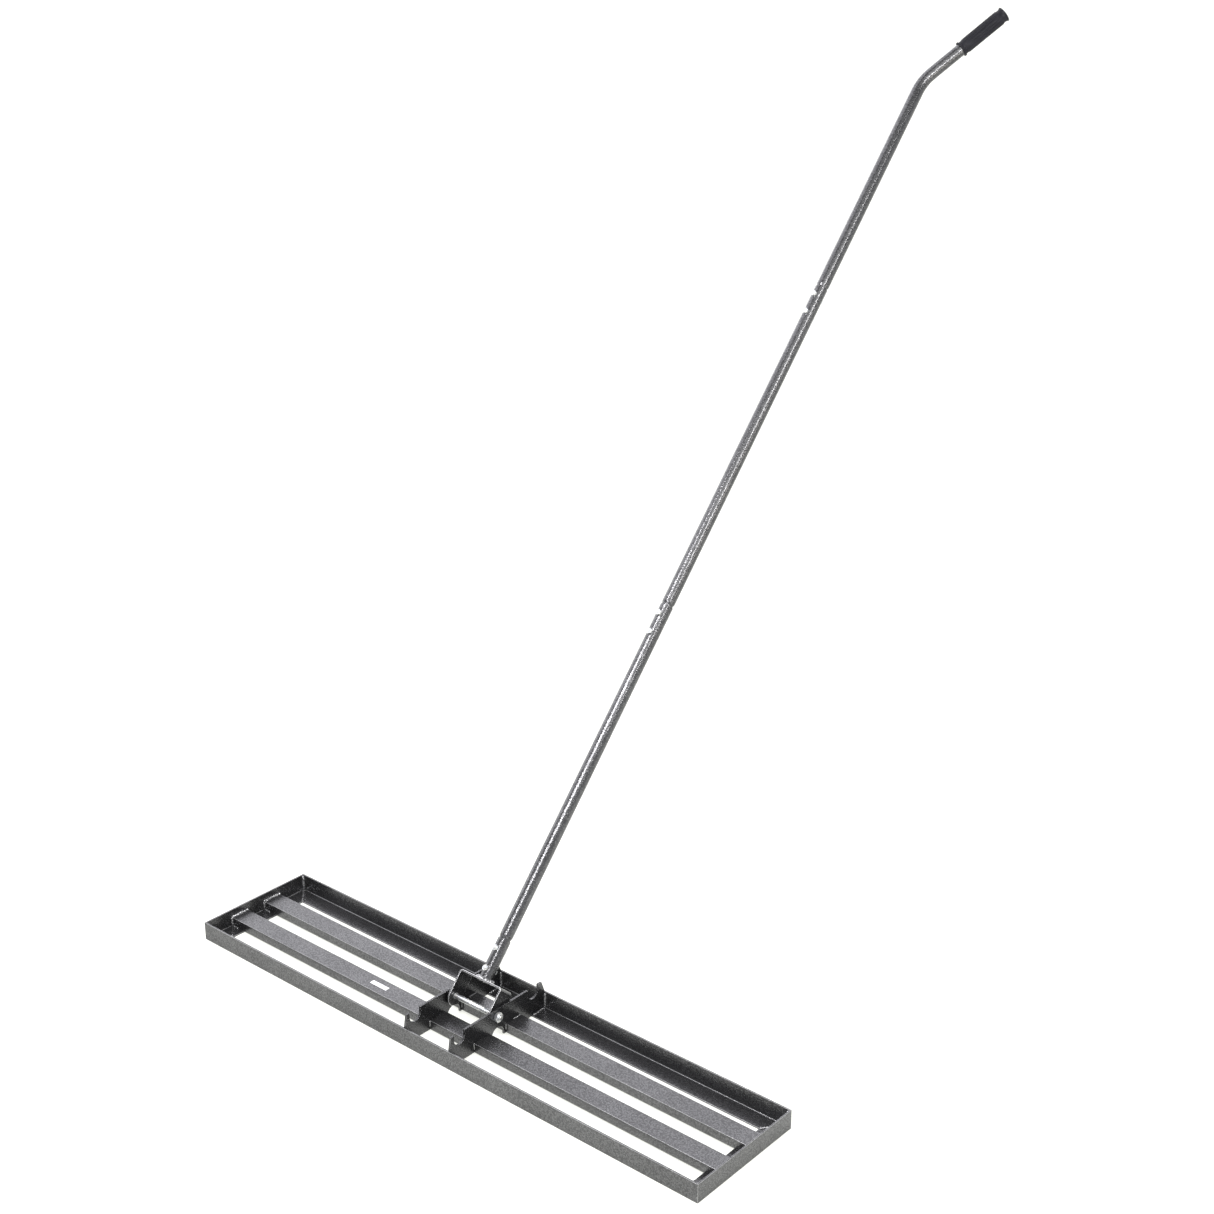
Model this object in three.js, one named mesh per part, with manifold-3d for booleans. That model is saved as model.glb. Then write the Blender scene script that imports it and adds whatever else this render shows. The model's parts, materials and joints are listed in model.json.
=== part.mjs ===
// Lawn-levelling drag rake: a welded angle-iron frame pulled and pushed by a long
// sectional handle that tilts on a clevis between two hook plates.
// Millimetres. X runs along the long bars, Y from the front bar to the rear bar, Z up.
// Pieces are laid out about the middle of the frame, on the ground. Each is then moved
// along Y, so that the origin is the middle of the front bar's underside.
import * as THREE from 'three';
import { mergeVertices } from 'three/addons/utils/BufferGeometryUtils.js';
import Module from 'manifold-3d';

const wasm = await Module();
wasm.setup();

// ---- Driving dimensions -----------------------------------------------------------

const FIT = 0.3; // gap left between pieces that are welded or bolted together
const STEEL = 3; // wall of the rolled angles

const FRAME_LENGTH = 1219;
const FRAME_WIDTH = 254;
const BAR_HEIGHT = 37;
const FLANGE_WIDTH = 38;

const SLAT_WIDTH = 40;
const SLAT_HEIGHT = 18.5;
const FRONT_SLAT_Y = -43.5; // middle of each slat's top face
const REAR_SLAT_Y = 38.5;

const PLATE_THICKNESS = 4;
const PLATES_MIDDLE = 2; // halfway between the hook plates, a little right of centre
const PLATE_SPREAD = 55.3; // from there to the middle of each plate
const PLATE_TOP = 62;
const NOTCH_RADIUS = 13.5;
const NOTCH_CENTRE_Z = 52;
const FRONT_NOTCH_Y = -99;
const REAR_NOTCH_Y = 91;
const FRONT_TIP_Y = -119.5; // outer top corner of each hook tip
const REAR_TIP_Y = 114.5;
const ARCH_RADIUS = 15.5;
const ARCH_CENTRE_Y = -2.5;
const ARCH_CENTRE_Z = 9.5;

const PIVOT_Y = -4;
const PIVOT_Z = 48;
const HANDLE_TILT = THREE.MathUtils.degToRad(41.8); // lean back from upright

const CLEVIS_THICKNESS = 3;
const CLEVIS_WIDTH = 101; // over the outsides of the two ears
const CLEVIS_MIDDLE = 4; // it has slid along its bolt, close to the right plate
const CLEVIS_STRIP = 38; // width of the strip it is bent from
const CLEVIS_TOP = 48; // outer face of the web, measured from the pivot
const CLEVIS_BEND = 6; // outer bend radius

const TUBE_RADIUS = 12.5;
const TUBE_WALL = 1.2;
const JOINT_STATIONS = [128, 817, 1525]; // tube mouths, measured from the pivot
const INSERT_DEPTH = 75;
const NECK_SHOWN = 1.5;
const TAPER_LENGTH = 7;
const BOLT_SETBACKS = [20, 60]; // joint bolts below each mouth

const BEND_STATION = 2018; // where the two straight axes of the top tube cross
const BEND_ANGLE = THREE.MathUtils.degToRad(28.8);
const BEND_RADIUS = 95;
const BEND_TWIST = THREE.MathUtils.degToRad(82); // side of the bend, turned from rear to right

const GRIP_START = 99; // measured along the bent arm from the crossing point
const GRIP_LENGTH = 110;
const GRIP_RADIUS = 15;
const GRIP_NECK_RADIUS = 13.8; // between the body and the flange at each end
const GRIP_FLANGE_RADIUS = 16;
const GRIP_FLANGE = 3;
const GRIP_NECK = 7; // length of the neck behind the open end's flange
const GRIP_STEP = 2.5; // slope from a neck up to the body
const GRIP_CAP = 5; // solid rubber beyond the end of the tube

// Hexagon fasteners: thread diameter, width across flats, head and nut heights.
const M10 = { diameter: 10, flats: 17, head: 6.4, nut: 8.4 };
const M6 = { diameter: 6, flats: 10, head: 4, nut: 5 };
const BOLT_END = 2; // thread standing out past a nut

const LABEL = { width: 42, depth: 10, thickness: 0.4, x: -204, y: -43 };

const ROUND_SEGMENTS = 32;
const SMALL_SEGMENTS = 20;

// ---- Derived sizes ----------------------------------------------------------------

const DECK = STEEL + FIT; // height at which slats and plates rest on the flanges
const SLAT_TOP = DECK + SLAT_HEIGHT;
const INNER_Y = FRAME_WIDTH / 2 - STEEL - FIT;
const INNER_X = FRAME_LENGTH / 2 - STEEL - FIT;
const NECK_RADIUS = TUBE_RADIUS - TUBE_WALL - FIT;
const ORIGIN_SHIFT = FRAME_WIDTH / 2 - FLANGE_WIDTH / 2;

// ---- Finishes ---------------------------------------------------------------------

const finishes = {
  paint: { color: 0x5f5f61, roughness: 0.5, metalness: 0.45 },
  darkPaint: { color: 0x434446, roughness: 0.5, metalness: 0.45 },
  zinc: { color: 0xc9cdd2, roughness: 0.28, metalness: 0.95 },
  rubber: { color: 0x26262b, roughness: 0.7, metalness: 0 },
  label: { color: 0xe9e9ec, roughness: 0.6, metalness: 0 },
};

const rake = new THREE.Group();
rake.name = 'lawn_levelling_rake';

function addPart(name, geometry, finish) {
  const mesh = new THREE.Mesh(geometry, new THREE.MeshStandardMaterial(finishes[finish]));
  mesh.name = name;
  mesh.position.y = ORIGIN_SHIFT;
  rake.add(mesh);
}

// ---- Solid helpers ----------------------------------------------------------------

function toSolid(geometry) {
  const bare = geometry.clone();
  bare.deleteAttribute('normal');
  bare.deleteAttribute('uv');
  const welded = mergeVertices(bare, 1e-4);
  return new wasm.Manifold(new wasm.Mesh({
    numProp: 3,
    vertProperties: new Float32Array(welded.attributes.position.array),
    triVerts: new Uint32Array(welded.index.array),
  }));
}

function toGeometry(solid) {
  const mesh = solid.getMesh();
  const geometry = new THREE.BufferGeometry();
  geometry.setAttribute('position', new THREE.BufferAttribute(mesh.vertProperties, 3));
  geometry.setIndex(new THREE.BufferAttribute(mesh.triVerts, 1));
  return geometry;
}

function cut(geometry, tools) {
  const solid = tools.reduce((body, tool) => body.subtract(toSolid(tool)), toSolid(geometry));
  return toGeometry(solid);
}

// A rod of the given radius along Z, from `from` to `to`.
function rod(radius, from, to, segments) {
  const geometry = new THREE.CylinderGeometry(radius, radius, to - from, segments);
  geometry.rotateX(Math.PI / 2);
  return geometry.translate(0, 0, (from + to) / 2);
}

function hexagon(flats, from, to) {
  return rod(flats / Math.sqrt(3), from, to, 6);
}

// A closed outline of [across, up] points pushed from `from` to `to` along the X axis.
function prismAlongX(shape, from, to, curveSegments = 12) {
  const geometry = new THREE.ExtrudeGeometry(shape, {
    depth: to - from,
    bevelEnabled: false,
    curveSegments,
  });
  const toYZX = new THREE.Matrix4().makeBasis(
    new THREE.Vector3(0, 1, 0),
    new THREE.Vector3(0, 0, 1),
    new THREE.Vector3(1, 0, 0),
  );
  return geometry.applyMatrix4(toYZX).translate(from, 0, 0);
}

function outline(points) {
  return new THREE.Shape(points.map(([across, up]) => new THREE.Vector2(across, up)));
}

// ---- Frame ------------------------------------------------------------------------

// An angle bar with its upright leg outside and both ends mitred at 45 degrees.
// `reach` is the distance from the frame's middle to the bar's outer face.
function mitredBar(length, reach, turn) {
  const section = outline([
    [0, 0],
    [FLANGE_WIDTH, 0],
    [FLANGE_WIDTH, STEEL],
    [STEEL, STEEL],
    [STEEL, BAR_HEIGHT],
    [0, BAR_HEIGHT],
  ]);
  const geometry = prismAlongX(section, -1, 1);
  const position = geometry.attributes.position;
  for (let i = 0; i < position.count; i += 1) {
    const inward = position.getY(i);
    const half = length / 2 - inward - FIT / 2;
    position.setXYZ(i, position.getX(i) * half, inward - reach, position.getZ(i));
  }
  return geometry.rotateZ(turn);
}

function slat(y) {
  const front = y - SLAT_WIDTH / 2;
  const rear = y + SLAT_WIDTH / 2;
  const section = outline([
    [front, DECK],
    [front + STEEL, DECK],
    [front + STEEL, SLAT_TOP - STEEL],
    [rear, SLAT_TOP - STEEL],
    [rear, SLAT_TOP],
    [front, SLAT_TOP],
  ]);
  return prismAlongX(section, -INNER_X, INNER_X);
}

// The hook plate stands on both flanges, straddles the slats and carries an open
// round-bottomed notch at each end, an arch in the middle and the pivot hole.
function hookPlate(x) {
  const clearance = SLAT_TOP + FIT;
  const slotEdge = SLAT_WIDTH / 2 + FIT;
  const shape = new THREE.Shape();
  shape.moveTo(-INNER_Y, DECK);
  shape.lineTo(FRONT_SLAT_Y - slotEdge, DECK);
  shape.lineTo(FRONT_SLAT_Y - slotEdge, clearance);
  shape.lineTo(FRONT_SLAT_Y + slotEdge, clearance);
  shape.lineTo(FRONT_SLAT_Y + slotEdge, DECK);
  shape.lineTo(ARCH_CENTRE_Y - ARCH_RADIUS, DECK);
  shape.lineTo(ARCH_CENTRE_Y - ARCH_RADIUS, ARCH_CENTRE_Z);
  shape.absarc(ARCH_CENTRE_Y, ARCH_CENTRE_Z, ARCH_RADIUS, Math.PI, 0, true);
  shape.lineTo(ARCH_CENTRE_Y + ARCH_RADIUS, DECK);
  shape.lineTo(REAR_SLAT_Y - slotEdge, DECK);
  shape.lineTo(REAR_SLAT_Y - slotEdge, clearance);
  shape.lineTo(REAR_SLAT_Y + slotEdge, clearance);
  shape.lineTo(REAR_SLAT_Y + slotEdge, DECK);
  shape.lineTo(INNER_Y, DECK);
  shape.lineTo(INNER_Y, BAR_HEIGHT);
  shape.lineTo(REAR_TIP_Y, PLATE_TOP);
  for (const notchY of [REAR_NOTCH_Y, FRONT_NOTCH_Y]) {
    shape.lineTo(notchY + NOTCH_RADIUS, PLATE_TOP);
    shape.lineTo(notchY + NOTCH_RADIUS, NOTCH_CENTRE_Z);
    shape.absarc(notchY, NOTCH_CENTRE_Z, NOTCH_RADIUS, 0, -Math.PI, true);
    shape.lineTo(notchY - NOTCH_RADIUS, PLATE_TOP);
  }
  shape.lineTo(FRONT_TIP_Y, PLATE_TOP);
  shape.lineTo(-INNER_Y, BAR_HEIGHT);
  const hole = new THREE.Path();
  hole.absarc(PIVOT_Y, PIVOT_Z, M10.diameter / 2 + FIT, 0, 2 * Math.PI, false);
  shape.holes.push(hole);
  return prismAlongX(shape, x - PLATE_THICKNESS / 2, x + PLATE_THICKNESS / 2, 10);
}

addPart('front_bar', mitredBar(FRAME_LENGTH, FRAME_WIDTH / 2, 0), 'paint');
addPart('rear_bar', mitredBar(FRAME_LENGTH, FRAME_WIDTH / 2, Math.PI), 'paint');
addPart('left_end_bar', mitredBar(FRAME_WIDTH, FRAME_LENGTH / 2, -Math.PI / 2), 'paint');
addPart('right_end_bar', mitredBar(FRAME_WIDTH, FRAME_LENGTH / 2, Math.PI / 2), 'paint');
addPart('front_slat', slat(FRONT_SLAT_Y), 'paint');
addPart('rear_slat', slat(REAR_SLAT_Y), 'paint');
addPart('left_hook_plate', hookPlate(PLATES_MIDDLE - PLATE_SPREAD), 'darkPaint');
addPart('right_hook_plate', hookPlate(PLATES_MIDDLE + PLATE_SPREAD), 'darkPaint');

const label = new THREE.BoxGeometry(LABEL.width, LABEL.depth, LABEL.thickness);
label.translate(LABEL.x, LABEL.y, SLAT_TOP + FIT / 2 + LABEL.thickness / 2);
addPart('slat_label', label, 'label');

// ---- Fasteners --------------------------------------------------------------------

// Head below Z = 0, shank running up to `length`.
function hexBolt(size, length) {
  const head = hexagon(size.flats, -size.head, 0);
  const shank = rod(size.diameter / 2, -size.head / 2, length, SMALL_SEGMENTS);
  return toGeometry(toSolid(head).add(toSolid(shank)));
}

function hexNut(size, from) {
  const body = hexagon(size.flats, from, from + size.nut);
  const bore = rod(size.diameter / 2 + FIT, from - 1, from + size.nut + 1, SMALL_SEGMENTS);
  return cut(body, [bore]);
}

// A bolt clamping everything between Z = 0 and `grip`, and the nut that closes it.
function boltAndNut(size, grip) {
  const seat = grip + FIT;
  return [hexBolt(size, seat + size.nut + BOLT_END), hexNut(size, seat)];
}

const plateOutside = PLATE_SPREAD + PLATE_THICKNESS / 2 + FIT;
const pivotPieces = boltAndNut(M10, 2 * plateOutside - FIT);
for (const piece of pivotPieces) {
  piece.rotateY(Math.PI / 2);
  piece.translate(PLATES_MIDDLE - plateOutside, PIVOT_Y, PIVOT_Z);
}
addPart('pivot_bolt', pivotPieces[0], 'zinc');
addPart('pivot_nut', pivotPieces[1], 'zinc');

// ---- Handle -----------------------------------------------------------------------
// Everything below is laid out upright with the pivot at the origin, then leaned back.

function leanBack(geometry) {
  return geometry.rotateX(-HANDLE_TILT).translate(0, PIVOT_Y, PIVOT_Z);
}

// A strip bent into a U: ears with rounded ends hang down from a square web.
function clevis() {
  const outer = CLEVIS_WIDTH / 2;
  const inner = outer - CLEVIS_THICKNESS;
  const earEnd = -CLEVIS_STRIP / 2;
  const innerBend = CLEVIS_BEND - CLEVIS_THICKNESS;
  const bendZ = CLEVIS_TOP - CLEVIS_BEND;
  const section = new THREE.Shape();
  section.moveTo(-outer, earEnd);
  section.lineTo(-inner, earEnd);
  section.lineTo(-inner, bendZ);
  section.absarc(-outer + CLEVIS_BEND, bendZ, innerBend, Math.PI, Math.PI / 2, true);
  section.absarc(outer - CLEVIS_BEND, bendZ, innerBend, Math.PI / 2, 0, true);
  section.lineTo(inner, earEnd);
  section.lineTo(outer, earEnd);
  section.lineTo(outer, bendZ);
  section.absarc(outer - CLEVIS_BEND, bendZ, CLEVIS_BEND, 0, Math.PI / 2, false);
  section.absarc(-outer + CLEVIS_BEND, bendZ, CLEVIS_BEND, Math.PI / 2, Math.PI, false);
  const bent = new THREE.ExtrudeGeometry(section, {
    depth: CLEVIS_STRIP,
    bevelEnabled: false,
    curveSegments: 6,
  });
  bent.rotateX(Math.PI / 2).translate(0, CLEVIS_STRIP / 2, 0);

  const earSide = new THREE.Shape();
  earSide.moveTo(-CLEVIS_STRIP / 2 - 1, CLEVIS_TOP + 1);
  earSide.lineTo(-CLEVIS_STRIP / 2 - 1, 0);
  earSide.lineTo(-CLEVIS_STRIP / 2, 0);
  earSide.absarc(0, 0, CLEVIS_STRIP / 2, Math.PI, 2 * Math.PI, false);
  earSide.lineTo(CLEVIS_STRIP / 2 + 1, 0);
  earSide.lineTo(CLEVIS_STRIP / 2 + 1, CLEVIS_TOP + 1);
  const keep = prismAlongX(earSide, -outer - 1, outer + 1, 16);

  const bore = rod(M10.diameter / 2 + FIT, -outer - 1, outer + 1, SMALL_SEGMENTS);
  bore.rotateY(Math.PI / 2);
  const solid = toSolid(bent).intersect(toSolid(keep)).subtract(toSolid(bore));
  return toGeometry(solid).translate(CLEVIS_MIDDLE, 0, 0);
}

// A hollow tube in the YZ plane through stations { y, z, heading, outer, inner },
// where heading is measured from Z towards Y, turned about Z to the side of the bend.
function sweptTube(stations) {
  const rings = [
    ...stations.map((s) => ({ ...s, radius: s.outer })),
    ...stations.map((s) => ({ ...s, radius: s.inner })).reverse(),
  ];
  const points = [];
  for (const ring of rings) {
    for (let i = 0; i < ROUND_SEGMENTS; i += 1) {
      const turn = (2 * Math.PI * i) / ROUND_SEGMENTS;
      const side = ring.radius * Math.sin(turn);
      points.push(
        ring.radius * Math.cos(turn),
        ring.y + side * Math.cos(ring.heading),
        ring.z - side * Math.sin(ring.heading),
      );
    }
  }
  const faces = [];
  for (let r = 0; r < rings.length; r += 1) {
    const next = (r + 1) % rings.length;
    for (let i = 0; i < ROUND_SEGMENTS; i += 1) {
      const j = (i + 1) % ROUND_SEGMENTS;
      const a = r * ROUND_SEGMENTS + i;
      const b = r * ROUND_SEGMENTS + j;
      const c = next * ROUND_SEGMENTS + j;
      const d = next * ROUND_SEGMENTS + i;
      faces.push(a, b, c, a, c, d);
    }
  }
  const geometry = new THREE.BufferGeometry();
  geometry.setAttribute('position', new THREE.Float32BufferAttribute(points, 3));
  geometry.setIndex(faces);
  return geometry.rotateZ(-BEND_TWIST);
}

function straightStation(z, outer) {
  return { y: 0, z, heading: 0, outer, inner: outer - TUBE_WALL };
}

// The reduced end that slides into the tube below the joint at `mouth`.
function swagedEnd(mouth) {
  const neckEnd = mouth + NECK_SHOWN;
  return [
    straightStation(mouth - INSERT_DEPTH, NECK_RADIUS),
    straightStation(neckEnd, NECK_RADIUS),
    straightStation(neckEnd + TAPER_LENGTH, TUBE_RADIUS),
  ];
}

function armStation(along) {
  return {
    y: along * Math.sin(BEND_ANGLE),
    z: BEND_STATION + along * Math.cos(BEND_ANGLE),
    heading: BEND_ANGLE,
    outer: TUBE_RADIUS,
    inner: TUBE_RADIUS - TUBE_WALL,
  };
}

// The bend at the top, as equal steps round its centre, and the arm beyond it.
function bendAndArm() {
  const steps = 10;
  const bendStart = BEND_STATION - BEND_RADIUS * Math.tan(BEND_ANGLE / 2);
  const stations = [];
  for (let i = 0; i <= steps; i += 1) {
    const heading = (BEND_ANGLE * i) / steps;
    stations.push({
      y: BEND_RADIUS * (1 - Math.cos(heading)),
      z: bendStart + BEND_RADIUS * Math.sin(heading),
      heading,
      outer: TUBE_RADIUS,
      inner: TUBE_RADIUS - TUBE_WALL,
    });
  }
  stations.push(armStation(GRIP_START + GRIP_LENGTH - GRIP_CAP - FIT));
  return stations;
}

function boltHoles(mouths) {
  return mouths.flatMap((mouth) => BOLT_SETBACKS.map((setback) => {
    const reach = TUBE_RADIUS + 1;
    const hole = rod(M6.diameter / 2 + FIT, -reach, reach, SMALL_SEGMENTS);
    return hole.rotateX(Math.PI / 2).translate(0, 0, mouth - setback);
  }));
}

const [lowJoint, midJoint, topJoint] = JOINT_STATIONS;
const tubes = {
  socket_tube: {
    stations: [
      straightStation(CLEVIS_TOP + FIT, TUBE_RADIUS),
      straightStation(lowJoint, TUBE_RADIUS),
    ],
    joints: [lowJoint],
  },
  lower_tube: {
    stations: [...swagedEnd(lowJoint), straightStation(midJoint, TUBE_RADIUS)],
    joints: [lowJoint, midJoint],
  },
  middle_tube: {
    stations: [...swagedEnd(midJoint), straightStation(topJoint, TUBE_RADIUS)],
    joints: [midJoint, topJoint],
  },
  upper_tube: {
    stations: [...swagedEnd(topJoint), ...bendAndArm()],
    joints: [topJoint],
  },
};

addPart('clevis', leanBack(clevis()), 'darkPaint');
for (const [name, { stations, joints }] of Object.entries(tubes)) {
  addPart(name, leanBack(cut(sweptTube(stations), boltHoles(joints))), 'paint');
}

JOINT_STATIONS.forEach((mouth, jointIndex) => {
  BOLT_SETBACKS.forEach((setback, row) => {
    const seat = TUBE_RADIUS + FIT;
    const pieces = boltAndNut(M6, 2 * seat - FIT);
    for (const piece of pieces) {
      piece.rotateX(Math.PI / 2);
      piece.translate(0, seat, mouth - setback);
      leanBack(piece);
    }
    const tag = `${['low', 'mid', 'top'][jointIndex]}_${['upper', 'lower'][row]}`;
    addPart(`joint_bolt_${tag}`, pieces[0], 'zinc');
    addPart(`joint_nut_${tag}`, pieces[1], 'zinc');
  });
});

// The grip is a closed-ended sleeve. A thin flange and a neck start it, and a second
// neck flares out into the sharp rim of the closed end.
function grip() {
  const bore = TUBE_RADIUS + FIT;
  const capStart = GRIP_LENGTH - GRIP_CAP;
  const bodyStart = GRIP_FLANGE + GRIP_NECK + GRIP_STEP;
  const flareStart = GRIP_LENGTH - GRIP_FLANGE - GRIP_NECK / 2;
  const bodyEnd = flareStart - GRIP_STEP - GRIP_NECK / 2;
  const profile = [
    [bore, 0],
    [GRIP_FLANGE_RADIUS, 0],
    [GRIP_FLANGE_RADIUS, GRIP_FLANGE],
    [GRIP_NECK_RADIUS, GRIP_FLANGE + 1],
    [GRIP_NECK_RADIUS, bodyStart - GRIP_STEP],
    [GRIP_RADIUS, bodyStart],
    [GRIP_RADIUS, bodyEnd],
    [GRIP_NECK_RADIUS, bodyEnd + GRIP_STEP],
    [GRIP_NECK_RADIUS, flareStart],
    [GRIP_FLANGE_RADIUS, GRIP_LENGTH - 1],
    [GRIP_FLANGE_RADIUS, GRIP_LENGTH],
    [0, GRIP_LENGTH],
    [0, capStart],
    [bore, capStart],
    [bore, 0],
  ];
  const turned = new THREE.LatheGeometry(
    profile.map(([radius, height]) => new THREE.Vector2(radius, height)),
    ROUND_SEGMENTS,
  );
  turned.rotateX(Math.PI / 2);
  const foot = armStation(GRIP_START);
  turned.rotateX(-BEND_ANGLE).translate(0, foot.y, foot.z);
  return turned.rotateZ(-BEND_TWIST);
}

addPart('grip', leanBack(toGeometry(toSolid(grip()))), 'rubber');

export default rake;
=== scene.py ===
"""Looks of a lawn-levelling drag rake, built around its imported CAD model.

Metres, +Z up. The origin is the middle of the front bar's underside, X runs along the
long bars and the handle leans back towards +Y.
"""
import json
import math

import bmesh
import bpy
from mathutils import Matrix, Vector, noise


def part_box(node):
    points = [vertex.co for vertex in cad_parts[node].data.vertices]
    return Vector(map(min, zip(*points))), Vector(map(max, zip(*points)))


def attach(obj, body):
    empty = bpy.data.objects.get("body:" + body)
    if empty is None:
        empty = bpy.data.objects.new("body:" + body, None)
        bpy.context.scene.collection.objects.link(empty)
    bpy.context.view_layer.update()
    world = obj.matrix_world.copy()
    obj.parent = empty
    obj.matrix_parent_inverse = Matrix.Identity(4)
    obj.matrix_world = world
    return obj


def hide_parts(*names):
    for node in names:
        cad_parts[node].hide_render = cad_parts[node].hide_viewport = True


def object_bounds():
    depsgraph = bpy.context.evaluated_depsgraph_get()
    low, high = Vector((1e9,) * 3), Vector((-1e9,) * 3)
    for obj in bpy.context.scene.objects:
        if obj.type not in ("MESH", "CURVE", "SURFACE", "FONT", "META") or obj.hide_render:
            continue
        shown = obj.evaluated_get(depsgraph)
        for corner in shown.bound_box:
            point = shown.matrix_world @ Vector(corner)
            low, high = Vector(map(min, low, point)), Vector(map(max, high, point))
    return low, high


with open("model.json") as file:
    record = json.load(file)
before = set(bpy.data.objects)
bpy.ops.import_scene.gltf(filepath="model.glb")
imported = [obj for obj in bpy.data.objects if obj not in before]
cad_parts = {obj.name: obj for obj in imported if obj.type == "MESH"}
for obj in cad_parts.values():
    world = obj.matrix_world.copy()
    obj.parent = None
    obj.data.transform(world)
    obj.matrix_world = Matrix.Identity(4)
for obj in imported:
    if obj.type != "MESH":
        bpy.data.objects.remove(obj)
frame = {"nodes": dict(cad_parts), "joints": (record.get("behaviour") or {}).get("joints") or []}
cad_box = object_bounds()

MM = 0.001
FRAME_BODY = "levelling_frame"
HANDLE_BODY = "handle"
PIVOT = Vector(frame["joints"][0]["pos_m"])

# ---- Camera ------------------------------------------------------------------------

CAMERA_AZIMUTH = math.radians(40.377)
CAMERA_ELEVATION = math.radians(21.495)
CAMERA_ROLL = math.radians(0.122)
CAMERA_OFFSET = (0.2389, 0.7600, 3.5)  # right, up and back from the frame's middle
CAMERA_LENS = 57.243  # millimetres, on a sensor of the width below
SENSOR_WIDTH = 36
NEAR_CLIP = 0.05
FAR_CLIP = 500


def add_camera():
    azimuth, elevation, roll = CAMERA_AZIMUTH, CAMERA_ELEVATION, CAMERA_ROLL
    flat = math.cos(elevation)
    back = Vector((math.sin(azimuth) * flat, -math.cos(azimuth) * flat, math.sin(elevation)))
    level = Vector((math.cos(azimuth), math.sin(azimuth), 0))
    right = math.cos(roll) * level + math.sin(roll) * back.cross(level)
    axes = (right, back.cross(right), back)
    middle = (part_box("front_bar")[0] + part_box("rear_bar")[1]) / 2
    place = Vector((middle.x, middle.y, 0))
    for axis, distance in zip(axes, CAMERA_OFFSET):
        place += axis * distance
    data = bpy.data.cameras.new("camera")
    data.sensor_width = SENSOR_WIDTH
    data.lens = CAMERA_LENS
    data.clip_start = NEAR_CLIP
    data.clip_end = FAR_CLIP
    camera = bpy.data.objects.new("camera", data)
    bpy.context.scene.collection.objects.link(camera)
    turn = Matrix(axes).transposed().to_4x4()
    camera.matrix_world = Matrix.Translation(place) @ turn
    bpy.context.scene.camera = camera


# ---- Materials ---------------------------------------------------------------------

WEAR_AND_HIGHLIGHT = "wear_and_highlight"  # face attribute of wear and painted highlight: 1 on rounded edges, where it paints wear and a highlight, less in filled corners, where it paints a highlight only, 0 elsewhere
PAINT_CELLS = 340.0  # hammered cells along a metre
PAINT_CELL_WARP = 1.6 * MM
PAINT_RELIEF = 0.4 * MM
FINE_GRAIN = 2200.0  # noise scale of the flecks in the paint
RUBBED_GLOSS = 0.4  # roughness of rubbed edges
RUBBED_RELIEF = 0.15  # share of the hammered relief left on them


def add_node(tree, kind, inputs=None, **settings):
    """A node with its settings and inputs; an input is a value or a socket to link."""
    made = tree.nodes.new(kind)
    for key, value in settings.items():
        setattr(made, key, value)
    for key, value in (inputs or {}).items():
        if isinstance(value, bpy.types.NodeSocket):
            tree.links.new(value, made.inputs[key])
        else:
            made.inputs[key].default_value = value
    return made


def new_material(name):
    material = bpy.data.materials.new(name)
    material.use_nodes = True
    tree = material.node_tree
    surface = tree.nodes["Principled BSDF"]
    place = add_node(tree, "ShaderNodeTexCoord").outputs["Object"]
    return material, tree, surface, place


def blend_colours(tree, share, first, second):
    """A colour between two, each a socket or red, green and blue."""
    mix = add_node(tree, "ShaderNodeMix", data_type="RGBA")
    tree.links.new(share, mix.inputs["Factor"])
    for socket, colour in (("A", first), ("B", second)):
        target = [s for s in mix.inputs if s.name == socket and s.type == "RGBA"][0]
        if isinstance(colour, bpy.types.NodeSocket):
            tree.links.new(colour, target)
        else:
            target.default_value = (*colour, 1)
    return [s for s in mix.outputs if s.type == "RGBA"][0]


def remap(tree, value, low, high, to_low=0.0, to_high=1.0):
    """Maps the range low to high onto to_low to to_high, without going past its ends."""
    inputs = {"Value": value, "From Min": low, "From Max": high, "To Min": to_low, "To Max": to_high}
    return add_node(tree, "ShaderNodeMapRange", inputs, clamp=True).outputs["Result"]


def math_node(tree, operation, first, second):
    return add_node(tree, "ShaderNodeMath", {0: first, 1: second}, operation=operation).outputs[0]


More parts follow.
